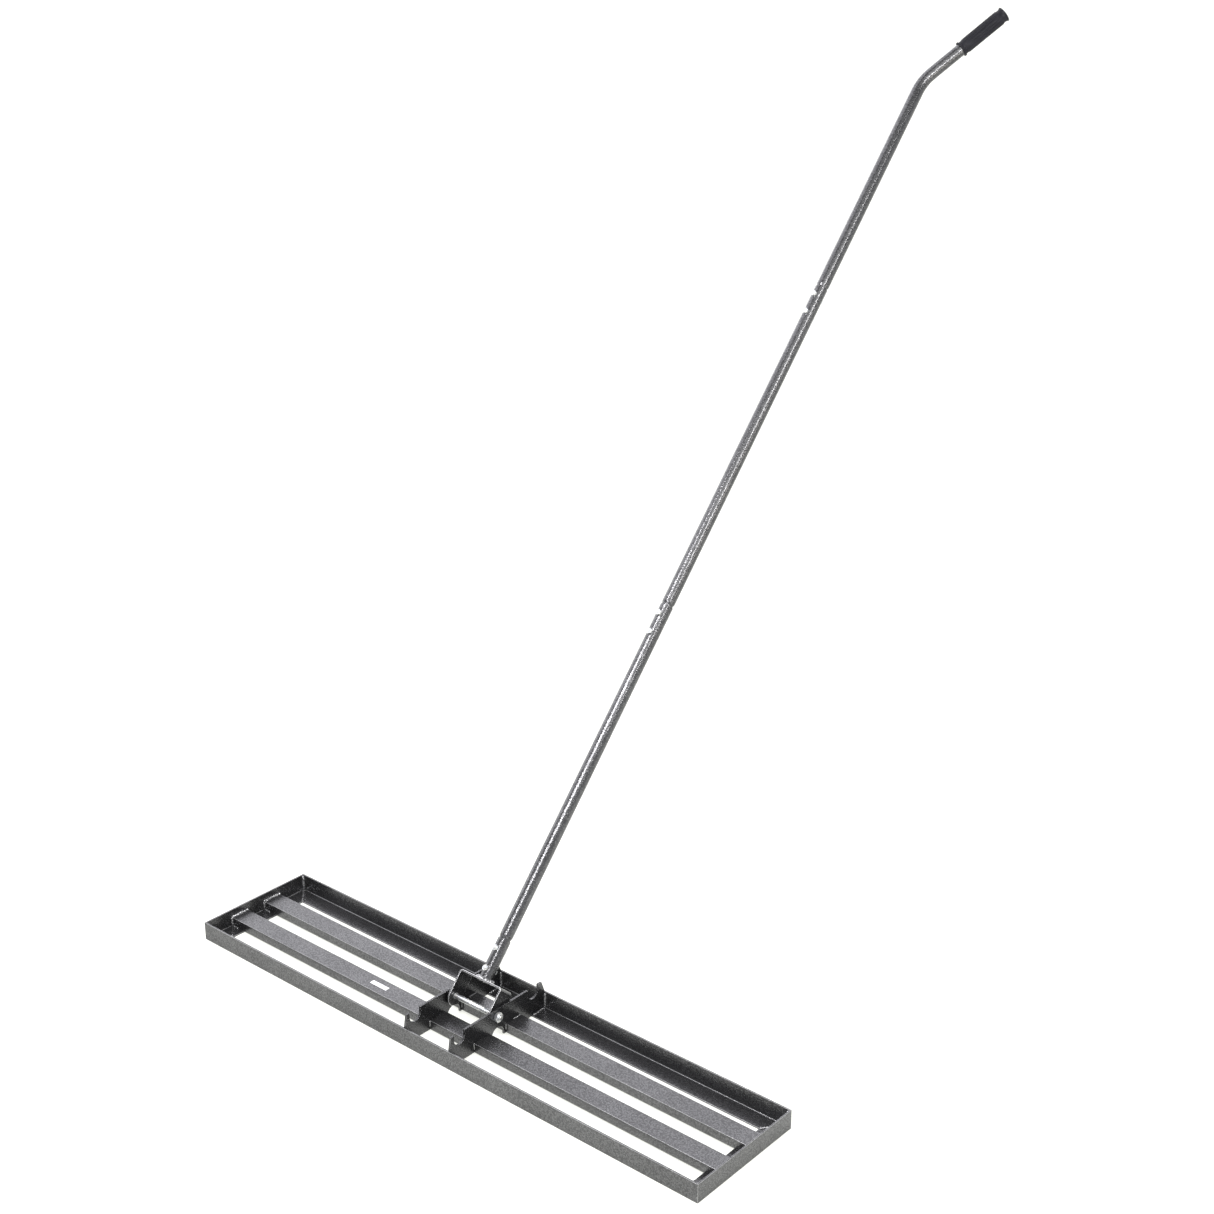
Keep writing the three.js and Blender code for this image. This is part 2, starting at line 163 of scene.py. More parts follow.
def hammertone_paint(name, pit, crest, rubbed_and_highlight_tone):
    """Hammered metallic enamel: small bright rounded cells with darker pits between them, slow
    clouding along the steel and a lighter line where an edge is rounded, partly rubbed wear and
    partly a painted highlight, and in a filled corner a painted highlight alone."""
    material, tree, surface, place = new_material(name)
    drift = add_node(tree, "ShaderNodeTexNoise", {"Vector": place, "Scale": 9.0, "Detail": 3.0})
    warp = add_node(tree, "ShaderNodeTexNoise", {"Vector": place, "Scale": 260.0, "Detail": 1.0})
    bent = add_node(
        tree,
        "ShaderNodeVectorMath",
        {0: warp.outputs["Color"], 1: (PAINT_CELL_WARP,) * 3},
        operation="MULTIPLY",
    )
    moved = add_node(tree, "ShaderNodeVectorMath", {0: place, 1: bent.outputs[0]}, operation="ADD")
    cells = add_node(
        tree,
        "ShaderNodeTexVoronoi",
        {"Vector": moved.outputs[0], "Scale": PAINT_CELLS, "Smoothness": 0.35},
        feature="SMOOTH_F1",
    )
    crests = remap(tree, cells.outputs["Distance"], 0.62, 0.12)
    fine = {"Vector": place, "Scale": FINE_GRAIN, "Detail": 2.0}
    grain = add_node(tree, "ShaderNodeTexNoise", fine)
    flecks = remap(tree, grain.outputs["Fac"], 0.35, 0.7, 0.0, 0.3)
    share = math_node(tree, "ADD", crests, flecks)
    colour = blend_colours(tree, share, pit, crest)
    cloud = remap(tree, drift.outputs["Fac"], 0.35, 0.7, 0.9, 1.06)
    tint = add_node(tree, "ShaderNodeVectorMath", {0: colour, "Scale": cloud}, operation="SCALE")
    # Painted highlight: the wear attribute lightens rounded edges, as wear and as a painted
    # highlight, and filled corners as a painted highlight only.
    wear_and_highlight = add_node(tree, "ShaderNodeAttribute", attribute_name=WEAR_AND_HIGHLIGHT).outputs["Fac"]
    patchy = remap(tree, drift.outputs["Fac"], 0.3, 0.6, 0.6, 1.0)
    rubbed_and_highlit = math_node(tree, "MULTIPLY", wear_and_highlight, patchy)
    worn_and_highlit = blend_colours(tree, rubbed_and_highlit, tint.outputs[0], rubbed_and_highlight_tone)
    tree.links.new(worn_and_highlit, surface.inputs["Base Color"])
    surface.inputs["Metallic"].default_value = 0.88
    gloss = remap(tree, share, 0.0, 1.2, 0.29, 0.17)
    dulled = math_node(tree, "MAXIMUM", gloss, math_node(tree, "MULTIPLY", wear_and_highlight, RUBBED_GLOSS))
    tree.links.new(dulled, surface.inputs["Roughness"])
    relief = math_node(tree, "MULTIPLY", crests, remap(tree, wear_and_highlight, 0.0, 1.0, 1.0, RUBBED_RELIEF))
    shape = {"Height": relief, "Strength": 0.35, "Distance": PAINT_RELIEF}
    bump = add_node(tree, "ShaderNodeBump", shape)
    tree.links.new(bump.outputs["Normal"], surface.inputs["Normal"])
    return material


def zinc_plate():
    """Bright zinc: a fine grain, a faint warm and cool passivation tint, dull spots."""
    material, tree, surface, place = new_material("zinc_plate")
    stain = add_node(tree, "ShaderNodeTexNoise", {"Vector": place, "Scale": 160.0, "Detail": 4.0})
    grain = add_node(tree, "ShaderNodeTexNoise", {"Vector": place, "Scale": 2600.0, "Detail": 2.0})
    share = remap(tree, stain.outputs["Fac"], 0.35, 0.68)
    colour = blend_colours(tree, share, (0.66, 0.69, 0.74), (0.86, 0.85, 0.80))
    tree.links.new(colour, surface.inputs["Base Color"])
    surface.inputs["Metallic"].default_value = 1.0
    dull = remap(tree, stain.outputs["Fac"], 0.3, 0.75, 0.30, 0.50)
    tree.links.new(dull, surface.inputs["Roughness"])
    bump = add_node(
        tree,
        "ShaderNodeBump",
        {"Height": grain.outputs["Fac"], "Strength": 0.35, "Distance": 0.06 * MM},
    )
    tree.links.new(bump.outputs["Normal"], surface.inputs["Normal"])
    return material


def black_rubber():
    """Moulded rubber: near black, slightly cool, with a pebbled skin and dusty patches."""
    material, tree, surface, place = new_material("black_rubber")
    pebble = add_node(
        tree,
        "ShaderNodeTexVoronoi",
        {"Vector": place, "Scale": 1100.0},
        feature="F1",
    )
    dust = add_node(tree, "ShaderNodeTexNoise", {"Vector": place, "Scale": 70.0, "Detail": 5.0})
    share = remap(tree, dust.outputs["Fac"], 0.4, 0.75)
    colour = blend_colours(tree, share, (0.006, 0.006, 0.009), (0.015, 0.015, 0.020))
    tree.links.new(colour, surface.inputs["Base Color"])
    surface.inputs["Specular IOR Level"].default_value = 0.19
    rough = remap(tree, dust.outputs["Fac"], 0.3, 0.8, 0.45, 0.65)
    tree.links.new(rough, surface.inputs["Roughness"])
    bump = add_node(
        tree,
        "ShaderNodeBump",
        {"Height": pebble.outputs["Distance"], "Strength": 0.4, "Distance": 0.1 * MM},
    )
    tree.links.new(bump.outputs["Normal"], surface.inputs["Normal"])
    return material


def white_label():
    """Coated paper sticker: nearly white, slightly grubby, with a soft sheen."""
    material, tree, surface, place = new_material("white_label")
    fibre = add_node(tree, "ShaderNodeTexNoise", {"Vector": place, "Scale": 900.0, "Detail": 4.0})
    grub = add_node(tree, "ShaderNodeTexNoise", {"Vector": place, "Scale": 60.0, "Detail": 3.0})
    share = remap(tree, grub.outputs["Fac"], 0.45, 0.8)
    colour = blend_colours(tree, share, (0.86, 0.86, 0.88), (0.70, 0.70, 0.71))
    tree.links.new(colour, surface.inputs["Base Color"])
    surface.inputs["Roughness"].default_value = 0.42
    bump = add_node(
        tree,
        "ShaderNodeBump",
        {"Height": fibre.outputs["Fac"], "Strength": 0.25, "Distance": 0.05 * MM},
    )
    tree.links.new(bump.outputs["Normal"], surface.inputs["Normal"])
    return material


def floor_paint():
    """Pale studio floor that also glows a little, so shadows on it stay light."""
    material, tree, surface, place = new_material("studio_floor")
    cloud = add_node(tree, "ShaderNodeTexNoise", {"Vector": place, "Scale": 0.6, "Detail": 2.0})
    share = remap(tree, cloud.outputs["Fac"], 0.3, 0.7)
    colour = blend_colours(tree, share, (0.41, 0.415, 0.395), (0.43, 0.435, 0.415))
    tree.links.new(colour, surface.inputs["Base Color"])
    surface.inputs["Roughness"].default_value = 0.9
    surface.inputs["Emission Color"].default_value = (0.99, 1.0, 0.93, 1)
    surface.inputs["Emission Strength"].default_value = 0.66
    return material


MATERIALS = {
    # Its rubbed tone paints wear and a highlight on the rounded edges of the bars and slats, and a
    # highlight alone in their filled corners.
    "hammertone_paint": hammertone_paint(
        "hammertone_paint",
        pit=(0.074, 0.074, 0.077),
        crest=(0.166, 0.166, 0.171),
        rubbed_and_highlight_tone=(0.36, 0.36, 0.365),
    ),
    # Painted shade: the frame's paint made darker for the hook plates and the clevis, which face
    # away from the light. Its light rubbed tone paints wear and a bright highlight on their edges.
    "dark_hammertone_paint": hammertone_paint(
        "dark_hammertone_paint",
        pit=(0.063, 0.063, 0.066),
        crest=(0.108, 0.108, 0.112),
        rubbed_and_highlight_tone=(0.78, 0.78, 0.79),
    ),
    # Painted highlight: the frame's paint made much lighter for the weld beads, so they show as
    # bright lines.
    "highlit_weld_paint": hammertone_paint(
        "highlit_weld_paint",
        pit=(0.24, 0.24, 0.245),
        crest=(0.42, 0.42, 0.425),
        rubbed_and_highlight_tone=(0.5, 0.5, 0.505),
    ),
    "zinc_plate": zinc_plate(),
    "black_rubber": black_rubber(),
    "white_label": white_label(),
}

# ---- Mesh helpers ------------------------------------------------------------------

SMOOTH_ANGLE = math.radians(32)
CRISP_ANGLE = math.radians(20)  # keeps the chamfers of bolt heads and nuts sharp
TUBE_ANGLE = math.radians(40)
GRIP_ANGLE = math.radians(50)
BEAD_ANGLE = math.radians(75)


def add_piece(name, mesh, slot, body, stands_for=(), material=None):
    """Puts a finished mesh in the scene: its material, its CAD body and the nodes it stands for."""
    mesh.materials.clear()
    mesh.materials.append(MATERIALS[material or slot])
    piece = bpy.data.objects.new(name, mesh)
    bpy.context.scene.collection.objects.link(piece)
    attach(piece, body)
    if stands_for:
        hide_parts(*stands_for)
    return piece


def finish_mesh(bm, name, smooth_angle=SMOOTH_ANGLE):
    """Turns a bmesh into a mesh that is smooth except over edges sharper than the angle."""
    bmesh.ops.recalc_face_normals(bm, faces=bm.faces)
    for face in bm.faces:
        face.smooth = True
    for edge in bm.edges:
        edge.smooth = edge.calc_face_angle(0) < smooth_angle
    mesh = bpy.data.meshes.new(name)
    bm.to_mesh(mesh)
    bm.free()
    return mesh


def weigh_normals(piece):
    """Keeps the broad flat faces flat-looking beside their rounded edges."""
    modifier = piece.modifiers.new("even_normals", "WEIGHTED_NORMAL")
    modifier.keep_sharp = True
    modifier.weight = 80


def ring(centre, across, over, radii):
    """Points round a centre, one for each radius, in the plane of two unit vectors."""
    points = []
    for index, radius in enumerate(radii):
        turn = 2 * math.pi * index / len(radii)
        points.append(centre + (across * math.cos(turn) + over * math.sin(turn)) * radius)
    return points


def skin_rings(bm, rings, loop=False):
    """Faces over a row of rings with equal point counts. A loop joins the last to the first,
    and an open row gets a closing fan at each end."""
    count = len(rings[0])
    made = [[bm.verts.new(point) for point in points] for points in rings]
    pairs = list(zip(made, made[1:]))
    if loop:
        pairs.append((made[-1], made[0]))
    for low, high in pairs:
        for index in range(count):
            after = (index + 1) % count
            bm.faces.new((low[index], low[after], high[after], high[index]))
    if not loop:
        for end in (made[0], made[-1]):
            middle = sum((vert.co for vert in end), Vector()) / count
            tip = bm.verts.new(middle)
            for index in range(count):
                bm.faces.new((end[index], end[(index + 1) % count], tip))


# ---- Steelwork: rounded-edge copies of the CAD shapes ------------------------------------

STEEL = 3 * MM
POINTS_MEET = 1e-5
FLAT_ANGLE = math.radians(0.5)
CREASE = math.radians(25)
EDGE_STEPS = 3
CORNER_STEPS = 4
# Share of the lighter edge tone: on rounded edges it paints wear and a highlight, in filled corners
# a highlight only.
EDGE_WEAR_AND_HIGHLIGHT = 1.0
CORNER_HIGHLIGHT = 0.55
BAR_EDGE = 0.5 * MM
BAR_CORNER = 1.4 * MM
SLAT_EDGE = 0.7 * MM
SLAT_CORNER = 1.5 * MM
PLATE_EDGE = 0.55 * MM
CLEVIS_EDGE = 0.7 * MM
LABEL_EDGE = 0.12 * MM


def rounded_copy(node, slot, body, outside, inside):
    """A copy of a CAD node with its outward edges rounded by `outside` and its inward
    corners filled by `inside`. Edges are marked for wear and a painted highlight, and corners
    half as much, for a painted highlight alone. It stands for the node."""
    bm = bmesh.new()
    bm.from_mesh(frame["nodes"][node].data)
    bmesh.ops.remove_doubles(bm, verts=bm.verts, dist=POINTS_MEET)
    bmesh.ops.dissolve_limit(bm, angle_limit=FLAT_ANGLE, verts=bm.verts, edges=bm.edges)
    bmesh.ops.recalc_face_normals(bm, faces=bm.faces)
    wear_and_highlight = bm.faces.layers.float.new(WEAR_AND_HIGHLIGHT)
    corners = (False, inside, CORNER_STEPS, CORNER_HIGHLIGHT)
    edges = (True, outside, EDGE_STEPS, EDGE_WEAR_AND_HIGHLIGHT)
    for convex, size, steps, rubbed_and_highlit in (corners, edges):
        folds = [e for e in bm.edges if e.calc_face_angle(0) > CREASE and e.is_convex == convex]
        if folds and size:
            made = bmesh.ops.bevel(
                bm,
                geom=folds,
                offset=size,
                segments=steps,
                profile=0.5,
                affect="EDGES",
                clamp_overlap=True,
            )
            for face in made["faces"]:
                face[wear_and_highlight] = rubbed_and_highlit
    mesh = finish_mesh(bm, node + "_look")
    piece = add_piece(node + "_look", mesh, slot, body, [node])
    weigh_normals(piece)
    return piece


def build_steelwork():
    paint, shaded = "hammertone_paint", "dark_hammertone_paint"
    for bar in ("front_bar", "rear_bar", "left_end_bar", "right_end_bar"):
        rounded_copy(bar, paint, FRAME_BODY, BAR_EDGE, BAR_CORNER)
    for slat in ("front_slat", "rear_slat"):
        rounded_copy(slat, paint, FRAME_BODY, SLAT_EDGE, SLAT_CORNER)
    # The plates and the clevis take the darker copy of the paint, a painted shade.
    for plate in ("left_hook_plate", "right_hook_plate"):
        rounded_copy(plate, shaded, FRAME_BODY, PLATE_EDGE, 0)
    rounded_copy("clevis", shaded, HANDLE_BODY, CLEVIS_EDGE, 0)
    rounded_copy("slat_label", "white_label", FRAME_BODY, LABEL_EDGE, 0)


# ---- Handle tubes ------------------------------------------------------------------------

HANDLE_TILT = math.radians(41.8)  # lean back from upright
BEND_ANGLE = math.radians(28.8)
BEND_TWIST = math.radians(82)  # side of the bend, turned from the handle's underside to +X
BEND_STATION = 2018 * MM  # pivot to where the straight tube's and the arm's axes cross
BEND_RADIUS = 95 * MM
TUBE_WALL = 1.2 * MM
NECK_SHOWN = 1.5 * MM
TAPER_LENGTH = 7 * MM
INSERT_DEPTH = 75 * MM
FIT = 0.3 * MM
TUBE_SIDES = 64
BEND_STEPS = 16
TAPER_STEPS = 4
RIM_ANGLE = math.radians(60)
RIM_EDGE = 0.3 * MM
SIDEWAYS = Vector((1, 0, 0))
HANDLE_AXIS = Vector((0, math.sin(HANDLE_TILT), math.cos(HANDLE_TILT)))
HANDLE_UNDER = HANDLE_AXIS.cross(SIDEWAYS)  # square to the handle, facing down and back
BEND_SIDE = HANDLE_UNDER * math.cos(BEND_TWIST) + SIDEWAYS * math.sin(BEND_TWIST)
BEND_NORMAL = HANDLE_AXIS.cross(BEND_SIDE)  # square to the plane of the bend
BEND_CORNER = PIVOT + HANDLE_AXIS * BEND_STATION


def heading(angle):
    """A direction in the plane of the bend, `angle` from the handle's axis."""
    return HANDLE_AXIS * math.cos(angle) + BEND_SIDE * math.sin(angle)


def inward(angle):
    """Square to a heading, towards the inside of the bend."""
    return BEND_NORMAL.cross(heading(angle))


def reach_along(node, start, axis):
    """Lowest and highest distance of a CAD node's points from `start`, along an axis."""
    distances = [(vert.co - start).dot(axis) for vert in frame["nodes"][node].data.vertices]
    return min(distances), max(distances)


def radius_round(node, start, axis):
    """Greatest distance of a CAD node's points from a line."""
    return max((vert.co - start).cross(axis).length for vert in frame["nodes"][node].data.vertices)


TUBE_RADIUS = radius_round("lower_tube", PIVOT, HANDLE_AXIS)


def straight(distance, radius=TUBE_RADIUS):
    """A station on the straight part of the handle: its centre, heading angle and radius."""
    return PIVOT + HANDLE_AXIS * distance, 0.0, radius


def swept_tube(node, stations):
    """A hollow tube through (centre, heading angle, radius) stations, with a wall."""
    walls = list(stations)
    walls += [(centre, angle, radius - TUBE_WALL) for centre, angle, radius in reversed(stations)]
    rings = []
    for centre, angle, radius in walls:
        rings.append(ring(centre, BEND_NORMAL, inward(angle), [radius] * TUBE_SIDES))
    bm = bmesh.new()
    skin_rings(bm, rings, loop=True)
    rims = [e for e in bm.edges if e.calc_face_angle(0) > RIM_ANGLE]
    bmesh.ops.bevel(bm, geom=rims, offset=RIM_EDGE, segments=2, profile=0.5, affect="EDGES")
    mesh = finish_mesh(bm, node + "_look", TUBE_ANGLE)
    piece = add_piece(node + "_look", mesh, "hammertone_paint", HANDLE_BODY, [node])
    weigh_normals(piece)


def neck_stations(mouth):
    """The reduced end inside the tube below, and the short taper above its mouth."""
    neck = TUBE_RADIUS - TUBE_WALL - FIT
    shown = mouth + NECK_SHOWN
    rows = [(mouth - INSERT_DEPTH, neck), (shown, neck)]
    for step in range(1, TAPER_STEPS + 1):
        share = step / TAPER_STEPS
        ease = share * share * (3 - 2 * share)
        rows.append((shown + TAPER_LENGTH * share, neck + (TUBE_RADIUS - neck) * ease))
    return [straight(distance, size) for distance, size in rows]


def build_tubes():
    """The socket tube, two straight tubes and the bent one, each with its neck in the last."""
    foot, low_mouth = reach_along("socket_tube", PIVOT, HANDLE_AXIS)
    middle_mouth = reach_along("lower_tube", PIVOT, HANDLE_AXIS)[1]
    top_mouth = reach_along("middle_tube", PIVOT, HANDLE_AXIS)[1]
    swept_tube("socket_tube", [straight(foot), straight(low_mouth)])
    swept_tube("lower_tube", [*neck_stations(low_mouth), straight(middle_mouth)])
    swept_tube("middle_tube", [*neck_stations(middle_mouth), straight(top_mouth)])
    stations = neck_stations(top_mouth)
    back_off = BEND_RADIUS * math.tan(BEND_ANGLE / 2)
    bend_centre = BEND_CORNER - HANDLE_AXIS * back_off + BEND_SIDE * BEND_RADIUS
    for step in range(BEND_STEPS + 1):
        angle = BEND_ANGLE * step / BEND_STEPS
        stations.append((bend_centre - inward(angle) * BEND_RADIUS, angle, TUBE_RADIUS))
    arm_axis = heading(BEND_ANGLE)
    arm_end = reach_along("upper_tube", BEND_CORNER, arm_axis)[1]
    stations.append((BEND_CORNER + arm_axis * arm_end, BEND_ANGLE, TUBE_RADIUS))
    swept_tube("upper_tube", stations)


# ---- Fasteners ---------------------------------------------------------------------------

HEX_SIDES = 48  # points round a hexagon, eight to a flat
SHANK_SIDES = 32
M10 = {"diameter": 10 * MM, "pitch": 1.5 * MM, "flats": 17 * MM, "head": 6.4 * MM}
M6 = {"diameter": 6 * MM, "pitch": 1.0 * MM, "flats": 10 * MM, "head": 4 * MM}
PIVOT_THREAD = 72 * MM  # threaded length of the pivot bolt
JOINT_THREAD = 8 * MM  # threaded length of the joint bolts
NUT_COLLAR = 1.4 * MM
THREAD_DEPTH = 0.4  # of the pitch
THREAD_STEPS = 8  # rings to each turn of a thread
THREAD_RUNOUT = 1.2  # length of the neck before a thread, of the pitch
HEAD_FACE = 0.475  # radius of the flat end of a head or nut, of its flats
CHAMFER_SLOPE = 0.5


def hexagon(flats, limit):
    """Radii round a hexagon with its first corner at angle zero, cut off at `limit`."""
    radii = []
    for index in range(HEX_SIDES):
        turn = 2 * math.pi * index / HEX_SIDES
        from_flat = turn % (math.pi / 3) - math.pi / 6
        radii.append(min(flats / 2 / math.cos(from_flat), limit))
    return radii


def hex_body(bm, base, axis, corner, flats, height, seat_chamfer):
    """A hexagon prism standing on `base`, its far corners chamfered, and also those at its
    seat if asked."""
    over = axis.cross(corner)
    tip = flats / math.sqrt(3)
    face = HEAD_FACE * flats
    depth = (tip - face) * CHAMFER_SLOPE
    rows = [(0, face if seat_chamfer else tip)]
    if seat_chamfer:
        rows += [(depth * step / 3, face + (tip - face) * step / 3) for step in (1, 2, 3)]
    rows += [(height - depth * step / 4, face + (tip - face) * step / 4) for step in (4, 3, 2, 1)]
    rows += [(height - 0.02 * flats, face), (height, face * 0.97)]
    rings = [ring(base + axis * z, corner, over, hexagon(flats, limit)) for z, limit in rows]
    skin_rings(bm, rings)


def round_body(bm, base, axis, across, rows, sides=SHANK_SIDES):
    """A turned shape: rows are (distance along the axis, radius)."""
    over = axis.cross(across)
    rings = [ring(base + axis * z, across, over, [radius] * sides) for z, radius in rows]
    skin_rings(bm, rings)


def threaded_body(bm, base, axis, across, size, start, end):
    """A screw thread from `start` to `end`, with a chamfered last turn."""
    over = axis.cross(across)
    radius = size["diameter"] / 2
    pitch = size["pitch"]
    rings = []
    count = math.ceil((end - start) / pitch * THREAD_STEPS)
    for step in range(count + 1):
        z = start + (end - start) * step / count
        taper = max(0.0, 1 - (end - z) / (0.6 * pitch)) * 0.8 * pitch
        radii = []
        for index in range(SHANK_SIDES):
            phase = (z / pitch - index / SHANK_SIDES) % 1
            groove = THREAD_DEPTH * pitch * (1 - abs(2 * phase - 1))
            radii.append(radius - max(groove, taper))
        rings.append(ring(base + axis * z, across, over, radii))
    skin_rings(bm, rings)


def bolt_piece(node, body, base, axis, corner, size, thread_start, end):
    """A hexagon bolt whose head sits below `base`, standing for its CAD node."""
    bm = bmesh.new()
    washer = 0.06 * size["head"]
    hex_body(bm, base - axis * washer, -axis, corner, size["flats"], size["head"] - washer, False)
    face = 0.47 * size["flats"]
    round_body(bm, base, -axis, corner, [(0, face), (1.5 * washer, face)], HEX_SIDES)
    shank = size["diameter"] / 2
    runout = THREAD_RUNOUT * size["pitch"]
    neck = shank - 0.5 * runout
    rows = [(-washer, shank), (thread_start - runout, shank)]
    rows += [(thread_start, neck), (thread_start + 0.3 * runout, neck)]
    round_body(bm, base, axis, corner, rows)
    threaded_body(bm, base, axis, corner, size, thread_start, end)
    mesh = finish_mesh(bm, node + "_look", CRISP_ANGLE)
    add_piece(node + "_look", mesh, "zinc_plate", body, [node])


def nut_piece(node, body, base, axis, corner, size, height, collar):
    """A hexagon nut on `base`. With a collar it is a locking nut with a rounded rim."""
    bm = bmesh.new()
    tall = height - collar
    hex_body(bm, base, axis, corner, size["flats"], tall, True)
    if collar:
        out = 0.46 * size["flats"]
        rows = [(tall - 0.1 * MM, out), (height - 0.5 * collar, out * 0.97)]
        rows += [(height - 0.12 * collar, out * 0.88), (height, out * 0.76)]
        round_body(bm, base, axis, corner, rows, HEX_SIDES)
    mesh = finish_mesh(bm, node + "_look", CRISP_ANGLE)
    add_piece(node + "_look", mesh, "zinc_plate", body, [node])


def build_fasteners():
    corner = Vector((0, 1, 0))
    low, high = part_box("pivot_bolt")
    nut_low, nut_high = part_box("pivot_nut")
    seat = low.x + M10["head"]
    run = high.x - seat
    base = Vector((seat, PIVOT.y, PIVOT.z))
    bolt_piece("pivot_bolt", FRAME_BODY, base, SIDEWAYS, corner, M10, run - PIVOT_THREAD, run)
    base = Vector((nut_low.x, PIVOT.y, PIVOT.z))
    height = nut_high.x - nut_low.x
    nut_piece("pivot_nut", FRAME_BODY, base, SIDEWAYS, corner, M10, height, NUT_COLLAR)
    outward = -HANDLE_UNDER
    for joint in ("low", "mid", "top"):
        for row in ("upper", "lower"):
            bolt, nut = (f"joint_{kind}_{joint}_{row}" for kind in ("bolt", "nut"))
            along = sum(reach_along(nut, PIVOT, HANDLE_AXIS)) / 2
            centre = PIVOT + HANDLE_AXIS * along
            head_end, thread_end = reach_along(bolt, centre, outward)
            nut_seat, nut_top = reach_along(nut, centre, outward)
            base = centre + outward * (head_end + M6["head"])
            run = thread_end - head_end - M6["head"]
            thread_start = run - JOINT_THREAD
            bolt_piece(bolt, HANDLE_BODY, base, outward, HANDLE_AXIS, M6, thread_start, run)
            base = centre + outward * nut_seat
            nut_piece(nut, HANDLE_BODY, base, outward, HANDLE_AXIS, M6, nut_top - nut_seat, 0)


# ---- Grip --------------------------------------------------------------------------------

GRIP_SIDES = 160
GRIP_RIBS = 20
RIB_DEPTH = 1.0 * MM
GRIP_FLANGE = 3 * MM
GRIP_NECK = 7 * MM
GRIP_STEP = 2.5 * MM
GRIP_NECK_RADIUS = 13.8 * MM
GRIP_TAPER = 0.2 * MM  # how much the body narrows towards the open end
GRIP_CAP = 5 * MM
GRIP_EDGE = 0.5 * MM
GRIP_STEPS = 24
FLARE_STEPS = 8
FILLET = 0.2 * MM  # how far the corners at the necks stand out
END_DISH = 0.4 * MM
VENT = 0.5 * MM  # radius of the air hole in the closed end


def build_grip():
    """A moulded sleeve: a thin flange and a neck, a body ribbed along its length, and a second
    neck that flares into the rim of the end, which is closed but for a small air hole."""
    axis = heading(BEND_ANGLE)
    over = inward(BEND_ANGLE)
    start, end = reach_along("grip", BEND_CORNER, axis)
    foot = BEND_CORNER + axis * start
    length = end - start
    rim = radius_round("grip", BEND_CORNER, axis)
    body = rim - 1.0 * MM
    bore = TUBE_RADIUS + FIT

    def plain_row(z, radius):
        return ring(foot + axis * z, BEND_NORMAL, over, [radius] * GRIP_SIDES)

    def ribbed_row(z, radius, share):
        radii = []
        for index in range(GRIP_SIDES):
            wave = math.cos(2 * math.pi * GRIP_RIBS * index / GRIP_SIDES)
            radii.append(radius - RIB_DEPTH * share * max(0.0, -wave) ** 0.7)
        return ring(foot + axis * z, BEND_NORMAL, over, radii)

    neck_end = GRIP_FLANGE + GRIP_NECK
    body_start = neck_end + GRIP_STEP
    flare_start = length - GRIP_FLANGE - GRIP_NECK / 2
    body_end = flare_start - GRIP_STEP - GRIP_NECK / 2
    rings = [plain_row(0, bore), plain_row(0, rim - GRIP_EDGE), plain_row(GRIP_EDGE, rim)]
    rings.append(plain_row(GRIP_FLANGE - GRIP_EDGE, rim))
    rings.append(plain_row(GRIP_FLANGE, rim - GRIP_EDGE))
    rings.append(plain_row(GRIP_FLANGE + 4 * FILLET, GRIP_NECK_RADIUS + FILLET))
    rings.append(plain_row(GRIP_FLANGE + 1.5 * MM, GRIP_NECK_RADIUS))
    rings.append(plain_row(neck_end, GRIP_NECK_RADIUS))
    for step in range(GRIP_STEPS + 1):
        share = step / GRIP_STEPS
        z = body_start + (body_end - body_start) * share
        ends = min(1.0, 8 * share, 8 * (1 - share))
        rings.append(ribbed_row(z, body - GRIP_TAPER * (1 - share), ends))
    rings.append(plain_row(body_end + 0.7 * GRIP_STEP, GRIP_NECK_RADIUS + FILLET))
    rings.append(plain_row(body_end + GRIP_STEP, GRIP_NECK_RADIUS))
    flare_end = length - 3 * FILLET
    for step in range(FLARE_STEPS + 1):
        share = step / FLARE_STEPS
        z = flare_start + (flare_end - flare_start) * share
        rings.append(plain_row(z, GRIP_NECK_RADIUS + (rim - GRIP_NECK_RADIUS) * share * share))
    rings.append(plain_row(length - FILLET, rim - FILLET / 4))
    rings.append(plain_row(length, rim - GRIP_EDGE))
    rings.append(plain_row(length, rim - 2.2 * MM))
    rings.append(plain_row(length - END_DISH, rim - 3.0 * MM))
    rings.append(plain_row(length - END_DISH, VENT))
    rings.append(plain_row(length - GRIP_CAP, VENT))
    rings.append(plain_row(length - GRIP_CAP, bore))
    bm = bmesh.new()
    skin_rings(bm, rings, loop=True)
    mesh = finish_mesh(bm, "grip_look", GRIP_ANGLE)
    add_piece("grip_look", mesh, "black_rubber", HANDLE_BODY, ["grip"])


# ---- Welds -------------------------------------------------------------------------------

BEAD_SIDES = 14
RIPPLE = 2.3 * MM  # one solidified ripple of a bead
RIPPLE_STEPS = 5
RIPPLE_HEIGHT = 0.18  # of the bead's radius
LUMP_SIZE = 2.2 * MM
LUMP_HEIGHT = 0.55  # of the bead's radius
WEB_WELD = 2.6 * MM  # radii of the beads
PLATE_WELD = 2.3 * MM
TOE_WELD = 2.2 * MM
SEAM_WELD = 1.7 * MM
OUTER_WELD = 1.25 * MM
FINE_WELD = 1.0 * MM
SOCKET_WELD = 3.8 * MM
SOCKET_WELD_POINTS = 28


